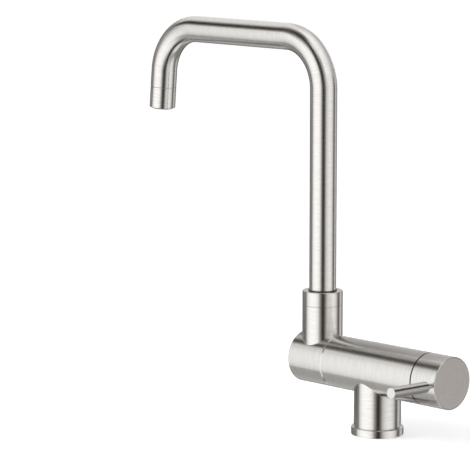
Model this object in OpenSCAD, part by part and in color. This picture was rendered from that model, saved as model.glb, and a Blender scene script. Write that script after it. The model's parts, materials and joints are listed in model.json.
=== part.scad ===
// Fold-down kitchen mixer: a fixed body on one column, a hub that tilts the spout down
// about the body's axis, a swivelling bent spout, and a side lever on a ceramic cartridge.
// The origin is on the column's axis at the worktop. +X runs along the body to the handle,
// -Y points to the user and +Z up. All sizes are in millimetres.

/* [Valve body] */
// Height of the body's axis above the worktop
axis_height = 60; // [56:0.5:80]
// Diameter of the horizontal body, the hub and the handle cap
body_d = 48; // [47.5:0.5:54]
// From the column's axis to the seam between the body and the hub
seam_reach = 49.5; // [46:0.5:60]
// From the column's axis to the body's open end
mouth_reach = 61; // [60:0.5:75]
// Diameter of the column
column_d = 43; // [42:0.5:46]
// Width of the fine chamfers on turned edges
edge = 0.4; // [0.2:0.1:0.8]
// Width of the seam between the body and the hub
seam_gap = 0.3; // [0.2:0.1:0.6]
// Radius of the drilled waterways
channel_r = 3.6; // [3:0.1:4]
// Height of the hot and cold waterways above the body's axis
feed_rise = 6; // [5:0.5:7]
// Depth of the mixed waterway below the body's axis
mixed_drop = 8; // [7:0.5:9]

/* [Inlets and fixing] */
// Radius of the two hose inlets under the column
inlet_r = 5; // [4.5:0.1:5.5]
// Depth of the hose inlets
inlet_depth = 12; // [8:0.5:16]
// Distance of the inlets in front of the column's axis, towards the handle
inlet_x = 6; // [4:0.5:7]
// Half the distance between the two inlets
inlet_y = 9.5; // [8.5:0.5:10.5]
// Radius of the fixing stud
stud_r = 4; // [3:0.5:4]
// Distance of the stud behind the column's axis, towards the hub
stud_x = 11; // [10:0.5:12]
// Depth of the stud's hole in the column
stud_depth = 15; // [10:1:25]
// Free length of the stud below the worktop's upper face
stud_drop = 76; // [60:1:110]
// Thickness of the worktop that the faucet clamps
worktop_t = 40; // [20:1:50]

/* [Base ring] */
// Outer diameter of the base ring
ring_d = 48; // [47:0.5:56]
// Height of the base ring
ring_h = 7; // [5:0.5:10]
// Step in the column that holds the ring down
ring_step = 2; // [1.5:0.5:3]
// Inner radius of the seal's groove under the ring
seal_in_r = 20.6; // [20.5:0.1:21]
// Outer radius of the seal's groove under the ring
seal_out_r = 22.9; // [22.2:0.1:23]
// Height of the seal's groove
seal_h = 1.5; // [1:0.1:2.5]

/* [Horseshoe clamp] */
// Radius of the gasket and plate
shoe_r = 27; // [25:0.5:32]
// Thickness of the rubber gasket
gasket_t = 3; // [2:0.5:5]
// Thickness of the steel plate
plate_t = 3; // [2:0.5:4]
// Half width of the mouth that the hoses pass through
shoe_mouth = 15.5; // [15:0.5:17]
// Where the mouth begins, measured from the column's axis towards the hub
shoe_back = 3; // [2:0.5:4]
// Width of the fixing nut across its flats
nut_af = 13; // [11:0.5:17]
// Height of the fixing nut
nut_h = 8; // [5:0.5:12]

/* [Hub] */
// From the column's axis to the riser's axis
riser_reach = 70.7; // [70:0.1:82]
// From the column's axis to the hub's closed end
hub_end_reach = 91.9; // [91.5:0.1:110]
// Diameter of the hub's stub and of the swivel collar
stub_d = 37.5; // [37.5:0.5:42]
// Height of the stub above the body's axis
stub_top = 51.1; // [51:0.1:56]
// Radius of the spigot that the hub turns on
spigot_r = 15; // [14:0.5:15.5]
// Running clearance of the hub on the spigot
spigot_fit = 0.05; // [0.02:0.01:0.1]
// Radius of the spigot's waist, where the water leaves it
waist_r = 12; // [11:0.5:13]
// Width of the waist
waist_w = 12; // [8:0.5:13]
// Radius of the spigot's bore
spigot_bore_r = 8; // [7:0.5:8.5]
// How far the spigot's bore runs on into the body, past the seam
spigot_bore_run = 15; // [10:0.5:18]
// Radius of the cross holes in the waist
cross_r = 3; // [2:0.5:4]
// Depth of the seal grooves on the spigot
spigot_groove = 2.2; // [2:0.1:2.6]
// From the riser's axis to each seal groove on the spigot
spigot_seal_reach = 9.5; // [9:0.1:10]
// Wall of the hub's web between the spigot's bore and the end chamber, from the riser's axis
web_reach = 11.9; // [11.8:0.1:13]
// Radius of the end chamber that holds the screw and washers
chamber_r = 19.8; // [19.4:0.1:20.5]

/* [Hub fastening] */
// Thickness of the slip washer
slip_t = 1.2; // [0.8:0.1:2]
// Thickness of the thrust washer
thrust_t = 2; // [1.5:0.1:3]
// Clearance that the hub keeps from the slip washer
slip_fit = 0.2; // [0.05:0.05:0.4]
// Head radius of the hub screw
hub_screw_head_r = 12; // [11:0.5:14]
// Width of the hexagon socket in the hub screw
hub_screw_socket = 10; // [8:0.5:12]
// Head height of the hub screw
hub_screw_head_h = 3.2; // [2.5:0.1:3.6]
// Length of the hub screw's shank
hub_screw_l = 12; // [8:0.5:14]
// Thickness of the hub's end cap
end_cap_t = 2; // [1.5:0.1:2.4]
// Width of the glide ring at the seam
glide_w = 2.3; // [1.5:0.1:2.5]
// Thickness of the glide ring at the seam
glide_t = 2; // [1:0.1:2.5]
// Radius at which the tilt stop pin stands
stop_r = 20.8; // [20.4:0.1:21]
// Radius of the tilt stop pin
stop_pin_r = 1.3; // [1:0.1:1.5]
// How far the stop pin reaches into the hub
stop_reach = 3; // [2:0.1:4]
// How far the spout folds down, in degrees
tilt_range = 90; // [60:5:100]

/* [Spout] */
// Outer diameter of the spout tube
tube_d = 25; // [24:0.1:25.2]
// Wall of the spout tube
tube_wall = 1.5; // [1:0.1:2]
// From the body's axis up to the axis of the top tube
riser_height = 297.6; // [200:0.2:340]
// From the riser's axis to where the top tube and the outlet cross
spout_reach = 213; // [160:1:260]
// Centreline radius of both bends
bend_r = 46.5; // [35:0.5:60]
// How much thinner the tube is drawn in a bend, on its radius
bend_thinning = 0.05; // [0.03:0.01:0.15]
// How far a bend laps into the straights, in degrees
bend_lap = 0.5; // [0.3:0.1:1]
// How far the outlet leans outwards at its lower end, in degrees
outlet_lean = 4.8; // [0:0.1:12]
// From the top tube's axis to the outlet's end, along the outlet
outlet_drop = 79; // [76:1:120]
// Length of the aerator sleeve below its seam
aerator_l = 20.5; // [16:0.5:26]
// Wall of the aerator sleeve around the insert
sleeve_wall = 2; // [1.5:0.1:2.5]
// Length of the aerator sleeve's thread in the tube
sleeve_thread_l = 6.5; // [5:0.5:9]
// How far the aerator insert stands out
insert_lip = 1; // [0.5:0.1:2]
// Wall of the aerator insert
insert_wall = 1.4; // [1:0.1:2]
// Thickness of the insert's perforated plate
insert_plate_t = 1.6; // [1:0.1:3]
// Radius of the holes in the perforated plate
insert_hole_r = 0.75; // [0.5:0.05:0.9]
// Distance between neighbouring holes in the perforated plate
insert_hole_pitch = 2.3; // [2.2:0.1:2.8]

/* [Swivel joint] */
// Height of the stub's socket floor above the body's axis
socket_floor = 27; // [25:0.5:28]
// Height of the ledge where the socket widens to its thread
ledge_height = 46; // [45:0.5:47]
// Radius of the brass bush on the spout's foot
bush_r = 15.4; // [15.2:0.1:15.4]
// Running clearance of the bush in the stub
bush_fit = 0.1; // [0.05:0.01:0.1]
// Depth of the seal grooves on the bush
bush_groove = 1.5; // [1.3:0.1:1.8]
// Depth of the bush below the shoulder that the tube stands on
bush_nose = 5.5; // [5:0.5:6]
// Thickness of the thrust ring above the bush
thrust_ring_t = 1.6; // [1:0.1:2]
// Height of the swivel collar above its seam
collar_h = 13; // [10:0.5:18]
// Width of the seam under the collar
collar_gap = 0.2; // [0.1:0.1:0.5]
// Thread radius of the collar in the stub
collar_thread_r = 17; // [16.8:0.1:17]
// Thickness of the collar's top around the tube
collar_top_t = 2; // [1.5:0.1:4]
// Clearance between the collar's rim and the tube
collar_rim_fit = 0.3; // [0.2:0.05:0.5]

/* [Handle] */
// Gap between the body's open end and the handle cap
cap_gap = 1.2; // [0.8:0.1:2]
// Length of the handle cap
cap_l = 28; // [27:0.5:34]
// Wall of the cap's skirt
cap_wall = 3; // [2.5:0.1:3.2]
// Depth of the cap's cavity
cap_cavity = 17.8; // [17.5:0.1:19]
// How far the lever lifts from closed to full flow, in degrees
lift_range = 20; // [10:1:24]
// Clearance left at the stop between the lifted cap and the body
stop_fit = 0.3; // [0.1:0.1:0.5]
// How far the lever stands above level at rest, in degrees
lever_up = 1.5; // [0:0.5:5]
// Diameter of the lever pin
lever_d = 10; // [8:0.5:11]
// From the body's axis to the lever's tip
lever_reach = 76.3; // [50:0.1:110]
// From the body's axis to the lever's inner end
lever_start = 28.4; // [27.5:0.1:32]
// Chamfer on the lever's inner end
lever_taper = 2.6; // [1:0.1:2.7]
// Diameter of the lever's neck
neck_d = 4.6; // [4:0.1:5]
// From the cap's face to the lever's axis
lever_inset = 3.7; // [3.5:0.1:4.5]
// Radius of the grub screw in the cap
grub_r = 2.5; // [2:0.1:2.5]
// Length of the grub screw
grub_l = 14; // [10:0.5:17]

/* [Cartridge] */
// Diameter of the cartridge
cartridge_d = 35; // [34:0.1:35.2]
// Radial play of the cartridge in its pocket
pocket_fit = 0.2; // [0.1:0.05:0.3]
// From the lift pivot down to the cartridge's foot
cartridge_depth = 21.8; // [21.5:0.1:22.5]
// From the cap's rim to the lift pivot
rim_to_pivot = 6; // [5:0.1:6.5]
// From the lift pivot down to the shoulder that the nut holds
shoulder_drop = 1; // [0.8:0.1:1.4]
// Radius of the cartridge's neck
neck_r = 14; // [13.5:0.1:14.2]
// From the lift pivot up to the neck's rim
neck_rise = 4.8; // [4:0.1:5]
// Inner radius of the neck
turret_r = 10.7; // [10.5:0.1:11]
// Running clearance of the turret in the neck
turret_fit = 0.1; // [0.05:0.01:0.1]
// Thread radius of the cartridge nut in the body's mouth
mouth_thread_r = 20.5; // [19.8:0.1:20.6]
// Depth of the thread in the body's mouth
mouth_thread_l = 8.5; // [7:0.5:10]
// Clearance between the nut's dome and the cap
dome_fit = 0.5; // [0.3:0.1:0.8]
// Height of the nut's face above the lift pivot
dome_top = 3; // [2.5:0.1:3.5]
// Width of the stem's square head
stem_w = 8; // [7:0.5:8]
// From the lift pivot to the end of the stem
stem_l = 19; // [18:0.5:19.5]
// From the lift pivot down to the stem's finger tip centre
finger_l = 7.6; // [7.4:0.1:7.8]
// Radius of the ball on the stem's finger
finger_r = 1.9; // [1.5:0.1:1.9]
// Radius of the finger between the ball and the stem
finger_neck_r = 1.2; // [1:0.1:1.3]
// Radius of the pivot pin
pivot_pin_r = 2; // [1.5:0.1:2.2]
// Thickness of each ceramic disc
disc_t = 4; // [3.5:0.1:4.2]
// Thickness of the cartridge's foot
base_t = 4; // [3:0.1:4.2]
// Wall of the cartridge's housing
housing_wall = 1.9; // [1.6:0.1:2.1]
// Thickness of the housing's shoulder under the neck
roof_t = 2; // [1.5:0.1:2.2]
// Height of the slide on the moving disc
carrier_t = 4.15; // [4:0.05:4.2]
// Radius of the moving disc and its slide
disc_r = 12.4; // [11.8:0.1:12.6]

/* [Hidden] */
$fn = 72;

// Overshoot of cuts, and the clearances that several pieces share
over = 1;
loose = 0.1;
thread_fit = 0.05;
slide_play = 0.2;
groove_play = 0.4;

body_r = body_d / 2;
column_r = column_d / 2;
foot_r = column_r - ring_step;
stub_r = stub_d / 2;
tube_r = tube_d / 2;
tube_bore_r = tube_r - tube_wall;
body_left = seam_reach - seam_gap / 2;
hub_right = seam_reach + seam_gap / 2;
stud_hole_r = stud_r + loose;

web_x = riser_reach + web_reach;
spigot_end = web_x + slip_fit + slip_t;
spigot_bore_end = seam_reach - spigot_bore_run;
spigot_groove_r = spigot_r - spigot_groove;
spigot_seal_r = spigot_groove / 2 - spigot_fit;
spigot_groove_w = 2 * spigot_seal_r + groove_play;
washer_r = chamber_r - groove_play;
screw_head_x = spigot_end + thrust_t;
screw_seal_r = 0.8;
screw_groove_r = spigot_bore_r + 2 * screw_seal_r + loose;
screw_groove_depth = 2 * screw_seal_r;
screw_socket_depth = 2.4;
glide_play = 0.3;
glide_in_r = spigot_r + glide_play;
glide_pocket_r = glide_in_r + glide_w + glide_play;
stop_slot_w = 2 * (stop_pin_r + slide_play);
stop_margin = atan((stop_pin_r + slide_play) / stop_r);
stop_hole_depth = stop_reach + 2;
end_ledge = 0.8;
end_seat_r = chamber_r + end_ledge;

socket_r = bush_r + bush_fit;
bush_foot = socket_floor + 0.5;
bush_ledge = 1;
shoulder_height = bush_foot + bush_nose;
bush_top = ledge_height - slide_play;
bush_groove_r = bush_r - bush_groove;
bush_seal_r = bush_groove / 2;
bush_groove_w = bush_groove + groove_play;
lower_seal_height = shoulder_height - 2.2;
upper_seal_height = shoulder_height + 5;
thrust_ring_base = ledge_height + thread_fit;
thrust_ring_top = thrust_ring_base + thrust_ring_t;
collar_seat = stub_top + collar_gap;
collar_top = collar_seat + collar_h;
collar_recess_top = collar_top - collar_top_t;

second_turn = 90 - outlet_lean;
bend_setback = bend_r * tan(second_turn / 2);
aerator_seam = outlet_drop - aerator_l;
sleeve_thread_r = tube_bore_r - loose;
sleeve_thread_wall = 1.6;
insert_r = tube_r - sleeve_wall;
insert_recess = 0.6;
seal_shelf = aerator_seam + 0.7;
aerator_seal_t = 1.5;
aerator_seal_w = 0.4;
insert_top = seal_shelf + aerator_seal_t;

pivot_x = mouth_reach + cap_gap + rim_to_pivot;
pocket_floor = pivot_x - cartridge_depth;
cap_rim = -rim_to_pivot;
cap_end = cap_rim + cap_l;
cap_bore_r = body_r - cap_wall;
dome_r = cap_bore_r - dome_fit;
cartridge_r = cartridge_d / 2;
housing_bore_r = cartridge_r - housing_wall;
base_top = -cartridge_depth + base_t;
fixed_disc_top = base_top + disc_t;
moving_disc_base = fixed_disc_top + thread_fit;
moving_disc_top = moving_disc_base + disc_t;
carrier_top = moving_disc_top + carrier_t;
turret_foot = carrier_top + slide_play;
turret_flange_top = -shoulder_drop - roof_t - loose;
turret_top = neck_rise + 1;
disc_travel = finger_l * sin(lift_range);
disc_offset = disc_travel / 2;
chamber_offset = 2;
mixing_chamber_r = 7;
slot_w = stem_w + slide_play;
socket_w = stem_w + loose;
slot_play = 0.3;
waist_play = 0.8;
eye_trim = 0.4;
lever_x = cap_end - lever_inset;
lever_root = stem_w / 2 + 2;
key_h = 1.1;
key_w = 2;
key_y = 8;
key_l = 10;
key_play = 0.2;
port_r = channel_r - 0.6;
port_seal_in_r = port_r + slide_play;
port_seal_r = 4.8;
port_seal_t = 2;
spanner_slot_w = 4;
spanner_slot_depth = 1.5;
pin_end = 0.5;
pin_play = 0.07;
grub_play = 0.8;
grub_x = stem_l - grub_r - grub_play;
grub_socket = 2.5;

// Moves its children to the body's axis at the distance x, with their own Z along +X
module along_x(x) {
    translate([x, 0, axis_height]) rotate([0, 90, 0]) children();
}

// Moves its children to the riser's axis, at a height above the body's axis
module on_riser(h) {
    translate([-riser_reach, 0, axis_height + h]) children();
}

// Moves its children onto the outlet's axis, at a distance s below the top tube's axis
module on_outlet(s) {
    translate([-riser_reach - spout_reach, 0, axis_height + riser_height])
        rotate([0, 180 + outlet_lean, 0]) translate([0, 0, s]) children();
}

// Moves its children to the cartridge's pivot, turned with the lever at rest
module on_pivot() {
    translate([pivot_x, 0, axis_height]) rotate([-lever_up, 0, 0]) children();
}

// Moves its children to the cartridge's pivot, with their own Z along +X
module on_pivot_axis(u) {
    on_pivot() translate([u, 0, 0]) rotate([0, 90, 0]) children();
}

// A turned bar with a chamfer at each end
module turned(r, l, c0, c1) {
    rotate_extrude() polygon([[0, 0], [r - c0, 0], [r, c0], [r, l - c1], [r - c1, l], [0, l]]);
}

// A plain ring
module ring(r_out, r_in, h) {
    rotate_extrude() translate([r_in, 0]) square([r_out - r_in, h]);
}

// A round sealing ring
module seal_ring(r_mid, r_cord) {
    rotate_extrude() translate([r_mid, 0]) circle(r = r_cord);
}

// The hot, cold and mixed ports of the cartridge, seen along the body's axis
module at_ports() {
    for (side = [-1, 1]) translate([-feed_rise, side * inlet_y, 0]) children();
    translate([mixed_drop, 0, 0]) children();
}

// Fixed body: column, horizontal barrel and the spigot that carries the hub
module valve_body() {
    color("silver") difference() {
        union() {
            along_x(-body_left) turned(body_r, body_left + mouth_reach, edge, edge);
            cylinder(r = foot_r, h = axis_height);
            translate([0, 0, ring_h]) cylinder(r = column_r, h = axis_height - ring_h);
            along_x(-spigot_end) cylinder(r = spigot_r, h = spigot_end - seam_reach + over);
        }
        body_pocket();
        body_waterways();
        body_foot_holes();
        spigot_cuts();
    }
}

module body_pocket() {
    along_x(pocket_floor) cylinder(r = cartridge_r + pocket_fit, h = cartridge_depth);
    along_x(mouth_reach - mouth_thread_l) cylinder(r = mouth_thread_r, h = mouth_thread_l + over);
}

module body_waterways() {
    for (side = [-1, 1]) {
        translate([inlet_x, side * inlet_y, 0])
            cylinder(r = channel_r, h = axis_height + feed_rise);
        translate([inlet_x, side * inlet_y, axis_height + feed_rise]) rotate([0, 90, 0])
            cylinder(r = channel_r, h = pocket_floor - inlet_x + over);
    }
    translate([-spigot_bore_end - over, 0, axis_height - mixed_drop]) rotate([0, 90, 0])
        cylinder(r = channel_r, h = pocket_floor + spigot_bore_end + 2 * over);
}

module body_foot_holes() {
    for (side = [-1, 1])
        translate([inlet_x, side * inlet_y, -over]) cylinder(r = inlet_r, h = inlet_depth + over);
    translate([-stud_x, 0, -over]) cylinder(r = stud_hole_r, h = stud_depth + over);
}

module spigot_cuts() {
    along_x(-spigot_end - over)
        cylinder(r = spigot_bore_r, h = spigot_end - spigot_bore_end + over);
    along_x(-riser_reach - waist_w / 2) ring(spigot_r + over, waist_r, waist_w);
    on_riser(0) for (turn = [0, 90]) rotate([turn, 0, 0])
        cylinder(r = cross_r, h = 2 * spigot_r, center = true);
    for (side = [-1, 1])
        along_x(-riser_reach + side * spigot_seal_reach - spigot_groove_w / 2)
            ring(spigot_r + over, spigot_groove_r, spigot_groove_w);
    along_x(-body_left - over) translate([stop_r, 0, 0])
        cylinder(r = stop_pin_r, h = stop_hole_depth + over);
}

// Loose ring under the column's step, seen as the base flange
module base_ring() {
    color("silver") difference() {
        turned(ring_d / 2, ring_h, edge / 2, edge);
        translate([0, 0, -over]) cylinder(r = foot_r + loose, h = ring_h + 2 * over);
        translate([0, 0, -over]) ring(seal_out_r, seal_in_r, seal_h + over);
    }
}

// Rubber seal in the base ring's groove, pressed flush with the worktop
module base_seal() {
    color("dimgray") ring(seal_out_r - loose, seal_in_r + loose, seal_h);
}

// Threaded stud that pulls the column down
module fixing_stud() {
    color("goldenrod") translate([-stud_x, 0, -stud_drop])
        turned(stud_r, stud_drop + stud_depth - over, edge, edge);
}

// Outline of the clamp: a disc open towards the hoses, with the stud's hole
module shoe_outline(hole_r) {
    difference() {
        circle(r = shoe_r);
        translate([-shoe_back, -shoe_mouth]) square([shoe_r + shoe_back + over, 2 * shoe_mouth]);
        translate([-stud_x, 0]) circle(r = hole_r);
    }
}

module horseshoe_gasket() {
    color("dimgray") translate([0, 0, -worktop_t - gasket_t])
        linear_extrude(gasket_t) shoe_outline(stud_hole_r);
}

module horseshoe_plate() {
    color("lightgray") translate([0, 0, -worktop_t - gasket_t - plate_t])
        linear_extrude(plate_t) shoe_outline(stud_hole_r);
}

// Hexagon nut on the stud
module fixing_nut() {
    nut_top = -worktop_t - gasket_t - plate_t;
    color("goldenrod") translate([-stud_x, 0, nut_top - nut_h]) difference() {
        cylinder(d = nut_af / cos(30), h = nut_h, $fn = 6);
        translate([0, 0, -over]) cylinder(r = stud_r + thread_fit, h = nut_h + 2 * over);
    }
}

// Foot of the cartridge, with the three ports and their seal recesses
module cartridge_base() {
    color("whitesmoke") along_x(pocket_floor) difference() {
        cylinder(r = cartridge_r, h = base_t);
        at_ports() translate([0, 0, -over]) cylinder(r = port_r, h = base_t + 2 * over);
        at_ports() translate([0, 0, -over]) cylinder(r = port_seal_r + loose, h = port_seal_t + over);
    }
}

module port_seals() {
    color("black") along_x(pocket_floor) at_ports() ring(port_seal_r, port_seal_in_r, port_seal_t);
}

// Shell that holds the ceramic discs and guides the turret
module cartridge_housing() {
    shell_l = cartridge_depth - base_t - shoulder_drop;
    color("whitesmoke") along_x(pivot_x + base_top) difference() {
        union() {
            cylinder(r = cartridge_r, h = shell_l);
            cylinder(r = neck_r, h = neck_rise - base_top);
        }
        translate([0, 0, -over]) cylinder(r = housing_bore_r, h = shell_l - roof_t + over);
        cylinder(r = turret_r, h = neck_rise - base_top + over);
    }
}

// Lower ceramic disc with the hot, cold and mixed ports
module fixed_disc() {
    color("ivory") along_x(pivot_x + base_top) difference() {
        cylinder(r = housing_bore_r - slide_play, h = disc_t);
        at_ports() translate([0, 0, -over]) cylinder(r = port_r, h = disc_t + 2 * over);
    }
}

// Domed nut that holds the cartridge, seen as the dark ring inside the cap's gap
module cartridge_nut() {
    mouth = -cap_gap - rim_to_pivot;
    thread_base = mouth - mouth_thread_l + loose;
    dome_base = mouth - loose;
    color("gray") along_x(pivot_x) difference() {
        intersection() {
            translate([0, 0, thread_base])
                cylinder(r = mouth_thread_r - thread_fit, h = dome_top - thread_base);
            union() {
                translate([0, 0, thread_base]) cylinder(r = mouth_thread_r, h = dome_base - thread_base);
                intersection() {
                    sphere(r = dome_r);
                    translate([0, 0, dome_base]) cylinder(r = mouth_thread_r, h = dome_top - dome_base);
                }
            }
        }
        translate([0, 0, thread_base - over])
            cylinder(r = cartridge_r + pocket_fit + thread_fit, h = over - shoulder_drop - thread_base);
        translate([0, 0, -shoulder_drop - over])
            cylinder(r = neck_r + pocket_fit, h = shoulder_drop + dome_top + 2 * over);
        for (turn = [0, 90]) rotate([0, 0, turn])
            translate([-mouth_thread_r, -spanner_slot_w / 2, dome_top - spanner_slot_depth])
                cube([2 * mouth_thread_r, spanner_slot_w, spanner_slot_depth + over]);
    }
}

// Two sealing rings on the spigot
module spigot_seals() {
    color("black") for (side = [-1, 1])
        along_x(-riser_reach + side * spigot_seal_reach)
            seal_ring(spigot_groove_r + spigot_seal_r, spigot_seal_r);
}

// Plastic ring between the body's face and the hub
module tilt_glide_ring() {
    color("white") along_x(-body_left - glide_t) ring(glide_in_r + glide_w, glide_in_r, glide_t);
}

// Steel pin that ends the hub's travel upright and folded
module tilt_stop_pin() {
    color("lightgray") along_x(-body_left - stop_reach) translate([stop_r, 0, 0])
        cylinder(r = stop_pin_r - thread_fit, h = stop_reach + stop_hole_depth - loose);
}

module slip_washer() {
    color("white") along_x(-spigot_end) ring(washer_r, spigot_r + loose, slip_t);
}

module thrust_washer() {
    color("lightgray") along_x(-screw_head_x) ring(washer_r, spigot_bore_r + loose, thrust_t);
}

// Plug screw that closes the spigot and holds the hub
module hub_screw() {
    head_end = screw_head_x + hub_screw_head_h;
    color("goldenrod") along_x(-head_end) difference() {
        union() {
            turned(hub_screw_head_r, hub_screw_head_h, edge, 0);
            cylinder(r = spigot_bore_r - thread_fit, h = hub_screw_head_h + hub_screw_l);
        }
        translate([0, 0, -over]) cylinder(d = hub_screw_socket / cos(30), h = screw_socket_depth + over, $fn = 6);
        translate([0, 0, hub_screw_head_h - screw_groove_depth]) ring(screw_groove_r + screw_seal_r + loose,
            screw_groove_r - screw_seal_r - loose, screw_groove_depth + over);
    }
}

module screw_seal() {
    color("black") along_x(-screw_head_x - screw_seal_r) seal_ring(screw_groove_r, screw_seal_r);
}

// Tilting tee: turns on the spigot and carries the spout in its stub
module tilt_hub() {
    color("silver") difference() {
        union() {
            along_x(-hub_end_reach) turned(body_r, hub_end_reach - hub_right, edge, edge);
            on_riser(0) turned(stub_r, stub_top, 0, edge / 2);
        }
        hub_bores();
        on_riser(0) cylinder(r = spigot_bore_r, h = socket_floor + over);
        on_riser(socket_floor) cylinder(r = socket_r, h = stub_top);
        on_riser(ledge_height) cylinder(r = collar_thread_r + thread_fit, h = stub_top);
    }
}

module hub_bores() {
    along_x(-web_x - over) cylinder(r = spigot_r + spigot_fit, h = web_x);
    along_x(-hub_end_reach - over) cylinder(r = chamber_r, h = hub_end_reach - web_x + over);
    along_x(-hub_end_reach - over) cylinder(r = end_seat_r, h = end_cap_t + over);
    along_x(-hub_right - glide_t) cylinder(r = glide_pocket_r, h = glide_t + over);
    along_x(-hub_right - stop_reach) rotate([0, 0, -tilt_range - stop_margin])
        rotate_extrude(angle = tilt_range + 2 * stop_margin)
            translate([stop_r - stop_slot_w / 2, 0]) square([stop_slot_w, stop_reach + over]);
}

// Push-in disc that closes the hub's end
module hub_end_cap() {
    color("silver") along_x(-hub_end_reach) turned(end_seat_r - thread_fit, end_cap_t, edge, 0);
}

// Union ring that holds the spout down in the stub
module swivel_collar() {
    skirt_base = thrust_ring_top + thread_fit;
    color("silver") on_riser(0) difference() {
        union() {
            translate([0, 0, collar_seat]) turned(stub_r, collar_h, edge / 2, edge);
            translate([0, 0, skirt_base])
                cylinder(r = collar_thread_r, h = collar_seat - skirt_base + over);
        }
        translate([0, 0, skirt_base - over])
            cylinder(r = socket_r, h = collar_recess_top - skirt_base + over);
        translate([0, 0, skirt_base]) cylinder(r = tube_r + collar_rim_fit, h = collar_top);
    }
}

// Plastic sleeve that guides the tube in the collar
module collar_bush() {
    color("white") on_riser(thrust_ring_top)
        ring(socket_r - bush_fit, tube_r + loose, collar_recess_top - thrust_ring_top);
}

module swivel_thrust_ring() {
    color("white") on_riser(thrust_ring_base)
        ring(collar_thread_r - loose, tube_r + collar_rim_fit, thrust_ring_t);
}

// A bend of a bar of radius r. It is drawn a little thinner than the straights and laps into them
module tube_bend(r, start, turn) {
    rotate([90, 0, 0]) rotate([0, 0, start - bend_lap])
        rotate_extrude(angle = turn + 2 * bend_lap)
            translate([bend_r, 0]) circle(r = r - bend_thinning);
}

// The spout's line as a bar of radius r: riser, bend, top tube, bend and outlet
module spout_line(r, foot, tail, rim) {
    bend_height = riser_height - bend_r;
    on_riser(foot) cylinder(r = r, h = bend_height - foot);
    on_riser(bend_height) translate([-bend_r, 0, 0]) tube_bend(r, 0, 90);
    on_riser(riser_height) translate([-bend_r, 0, 0]) rotate([0, -90, 0])
        cylinder(r = r, h = spout_reach - bend_r - bend_setback);
    on_riser(bend_height) translate([bend_setback - spout_reach, 0, 0])
        tube_bend(r, 90, second_turn);
    on_outlet(bend_setback) turned(r, aerator_seam - bend_setback + tail, 0, rim);
}

// Bent steel tube
module spout_tube() {
    color("silver") difference() {
        spout_line(tube_r, shoulder_height, 0, edge / 2);
        spout_line(tube_bore_r, shoulder_height - over, over, 0);
    }
}

// Brass foot soldered to the tube, which turns in the stub
module spout_bush() {
    color("goldenrod") on_riser(bush_foot) difference() {
        turned(bush_r, bush_top - bush_foot, edge, edge);
        translate([0, 0, -over]) cylinder(r = tube_bore_r - bush_ledge, h = bush_nose + 2 * over);
        translate([0, 0, bush_nose]) cylinder(r = tube_r + thread_fit, h = bush_top);
        for (h = [lower_seal_height, upper_seal_height])
            translate([0, 0, h - bush_foot - bush_groove_w / 2])
                ring(bush_r + over, bush_groove_r, bush_groove_w);
    }
}

module spout_seals() {
    color("black") for (h = [lower_seal_height, upper_seal_height]) on_riser(h)
        seal_ring(bush_groove_r + bush_seal_r, bush_seal_r);
}

// Visible end of the outlet, screwed into the tube
module aerator_sleeve() {
    color("silver") on_outlet(aerator_seam) difference() {
        union() {
            turned(tube_r, aerator_l, edge / 2, edge);
            translate([0, 0, -sleeve_thread_l])
                cylinder(r = sleeve_thread_r, h = sleeve_thread_l + over);
        }
        translate([0, 0, -sleeve_thread_l - over])
            cylinder(r = sleeve_thread_r - sleeve_thread_wall, h = sleeve_thread_l + aerator_l);
        translate([0, 0, seal_shelf - aerator_seam]) cylinder(r = insert_r + loose, h = aerator_l);
    }
}

// Perforated insert that mixes air into the water. Its holes lie in rings round the middle one
module aerator_insert() {
    l = outlet_drop + insert_lip - insert_top;
    bore_r = insert_r - insert_wall;
    rings = floor((bore_r - insert_hole_r) / insert_hole_pitch);
    color("gray") on_outlet(insert_top) difference() {
        turned(insert_r, l, 0, edge);
        translate([0, 0, -over]) cylinder(r = bore_r, h = l - insert_plate_t - insert_recess + over);
        translate([0, 0, l - insert_recess]) cylinder(r = bore_r, h = insert_recess + over);
        cylinder(r = insert_hole_r, h = l + over);
        for (row = [1 : rings]) for (k = [1 : 6 * row])
            rotate([0, 0, 60 * k / row]) translate([insert_hole_pitch * row, 0, 0])
                cylinder(r = insert_hole_r, h = l + over);
    }
}

module aerator_seal() {
    color("black") on_outlet(seal_shelf)
        ring(insert_r, sleeve_thread_r - sleeve_thread_wall + aerator_seal_w, aerator_seal_t);
}

// Rotor of the cartridge: turns for temperature and holds the pivot pin
module cartridge_turret() {
    color("lightgray") on_pivot() difference() {
        union() {
            rotate([0, 90, 0]) translate([0, 0, turret_foot])
                cylinder(r = housing_bore_r - slot_play, h = turret_flange_top - turret_foot);
            rotate([0, 90, 0]) translate([0, 0, turret_foot])
                cylinder(r = turret_r - turret_fit, h = turret_top - turret_foot);
            for (side = [-1, 1])
                translate([turret_foot - key_h, -key_l / 2, side * key_y - key_w / 2])
                    cube([key_h + over, key_l, key_w]);
        }
        turret_slot();
        translate([0, 0, -turret_r]) cylinder(r = pivot_pin_r + thread_fit / 2, h = 2 * turret_r);
    }
}

// Slot in which the stem tilts: its outline holds the stem at rest and at full lift
module turret_slot() {
    half = stem_w / 2 + slot_play;
    waist = half + waist_play;
    foot = turret_foot - over;
    head = turret_top + over;
    head_swing = half / cos(lift_range) + head * tan(lift_range);
    foot_swing = half - foot * tan(lift_range) / 2;
    translate([0, 0, -slot_w / 2]) linear_extrude(slot_w) polygon([
        [foot, -foot_swing], [foot, half], [0, waist], [head, head_swing], [head, -half], [0, -waist]]);
}

module pivot_pin() {
    color("lightgray") on_pivot() translate([0, 0, pin_end - turret_r])
        cylinder(r = pivot_pin_r, h = 2 * (turret_r - pin_end));
}

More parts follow.
